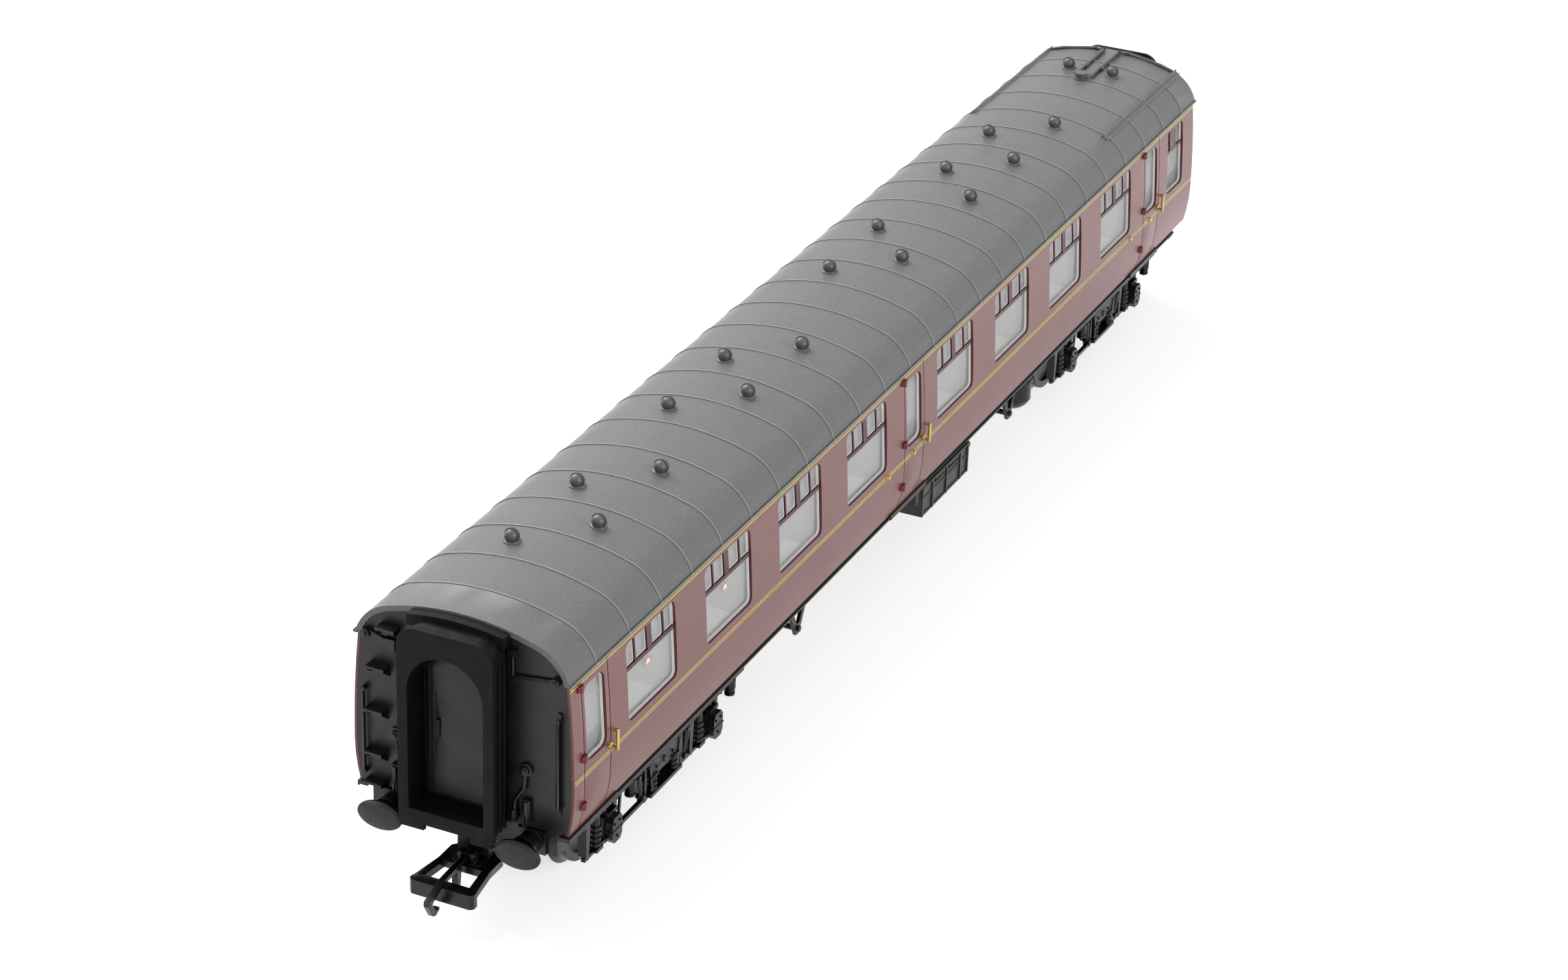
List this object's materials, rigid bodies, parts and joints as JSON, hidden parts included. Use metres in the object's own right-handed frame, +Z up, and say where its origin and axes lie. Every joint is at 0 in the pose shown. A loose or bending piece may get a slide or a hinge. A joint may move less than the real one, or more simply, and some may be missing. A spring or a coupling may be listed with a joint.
{
  "type": "model railway passenger coach",
  "caption": "Scale model of a maroon corridor passenger coach with a ribbed grey roof, swivelling bogies, rolling wheels and hooked couplings at both ends.",
  "frame": {"origin": "on the rail-flange floor, under the middle of the coach", "axes": "+X along the coach towards end b, which has the lavatory; +Y to the coach's right side; +Z up"},
  "size_m": [0.28, 0.038, 0.0509],
  "materials": {
    "maroon_paint": "satin maroon paint",
    "grey_roof": "satin grey paint",
    "black_end": "satin black paint",
    "black_plastic": "self-coloured black plastic",
    "dark_grey_plastic": "dark grey plastic",
    "gloss_black": "black acetal",
    "clear_glazing": "clear moulded plastic",
    "maroon_trim": "dark maroon",
    "brass": "brass-coloured wire",
    "pale_plastic": "pale interior moulding",
    "seat_plastic": "pale seat moulding",
    "wheel_metal": "blackened wheels with bright treads"
  },
  "bodies": {
    "coach_body": {"side_left": "maroon_paint", "side_right": "maroon_paint", "roof": "grey_roof", "roof_vents": "grey_roof", "roof_pipes": "grey_roof", "end_wall_a": "black_end", "end_wall_b": "black_end", "gangway_a": "black_plastic", "gangway_b": "black_plastic", "corridor_doors": "black_end", "end_steps": "black_plastic", "end_handrails": "black_plastic", "end_pipes": "black_plastic", "glazing": "clear_glazing", "window_bars": "maroon_trim", "door_hinges": "maroon_trim", "door_handles": "brass", "underframe": "black_plastic", "truss_rods": "black_plastic", "buffers": "gloss_black", "footboards": "black_plastic", "battery_boxes": "dark_grey_plastic", "vacuum_cylinders": "gloss_black", "brake_hangers": "black_plastic", "dynamo": "gloss_black", "coupling_pockets": "black_plastic", "partitions": "pale_plastic", "seats": "seat_plastic", "tables": "pale_plastic"},
    "bogie_a": {"bogie_frame_a": "black_plastic", "axleboxes_a": "black_plastic", "springs_a": "gloss_black", "brake_gear_a": "black_plastic"},
    "bogie_b": {"bogie_frame_b": "black_plastic", "axleboxes_b": "black_plastic", "springs_b": "gloss_black", "brake_gear_b": "black_plastic"},
    "wheelset_1_body": {"wheelset_1": "wheel_metal"},
    "wheelset_2_body": {"wheelset_2": "wheel_metal"},
    "wheelset_3_body": {"wheelset_3": "wheel_metal"},
    "wheelset_4_body": {"wheelset_4": "wheel_metal"},
    "coupling_frame_a": {"coupling_a": "gloss_black"},
    "hook_a": {"coupling_hook_a": "gloss_black"},
    "coupling_frame_b": {"coupling_b": "gloss_black"},
    "hook_b": {"coupling_hook_b": "gloss_black"}
  },
  "joints": [
    {"name": "bogie_a_swivel", "type": "hinge", "parent": "coach_body", "child": "bogie_a", "pos_m": [-0.093, 0, 0.01085], "axis": [0, 0, 1], "range_deg": [-9, 9]},
    {"name": "bogie_b_swivel", "type": "hinge", "parent": "coach_body", "child": "bogie_b", "pos_m": [0.093, 0, 0.01085], "axis": [0, 0, -1], "range_deg": [-9, 9]},
    {"name": "wheelset_1_roll", "type": "hinge", "parent": "bogie_a", "child": "wheelset_1_body", "pos_m": [-0.11, 0, 0.00795], "axis": [0, 1, 0], "continuous": true},
    {"name": "wheelset_2_roll", "type": "hinge", "parent": "bogie_a", "child": "wheelset_2_body", "pos_m": [-0.076, 0, 0.00795], "axis": [0, 1, 0], "continuous": true},
    {"name": "wheelset_3_roll", "type": "hinge", "parent": "bogie_b", "child": "wheelset_3_body", "pos_m": [0.076, 0, 0.00795], "axis": [0, 1, 0], "continuous": true},
    {"name": "wheelset_4_roll", "type": "hinge", "parent": "bogie_b", "child": "wheelset_4_body", "pos_m": [0.11, 0, 0.00795], "axis": [0, 1, 0], "continuous": true},
    {"name": "coupling_a_swing", "type": "hinge", "parent": "coach_body", "child": "coupling_frame_a", "pos_m": [-0.1239, 0, 0.0065], "axis": [0, 0, 1], "range_deg": [-15, 15]},
    {"name": "hook_a_lift", "type": "hinge", "parent": "coupling_frame_a", "child": "hook_a", "pos_m": [-0.1278, 0, 0.0081], "axis": [0, 1, 0], "range_deg": [0, 20]},
    {"name": "coupling_b_swing", "type": "hinge", "parent": "coach_body", "child": "coupling_frame_b", "pos_m": [0.1239, 0, 0.0065], "axis": [0, 0, -1], "range_deg": [-15, 15]},
    {"name": "hook_b_lift", "type": "hinge", "parent": "coupling_frame_b", "child": "hook_b", "pos_m": [0.1278, 0, 0.0081], "axis": [0, -1, 0], "range_deg": [0, 20]}
  ]
}
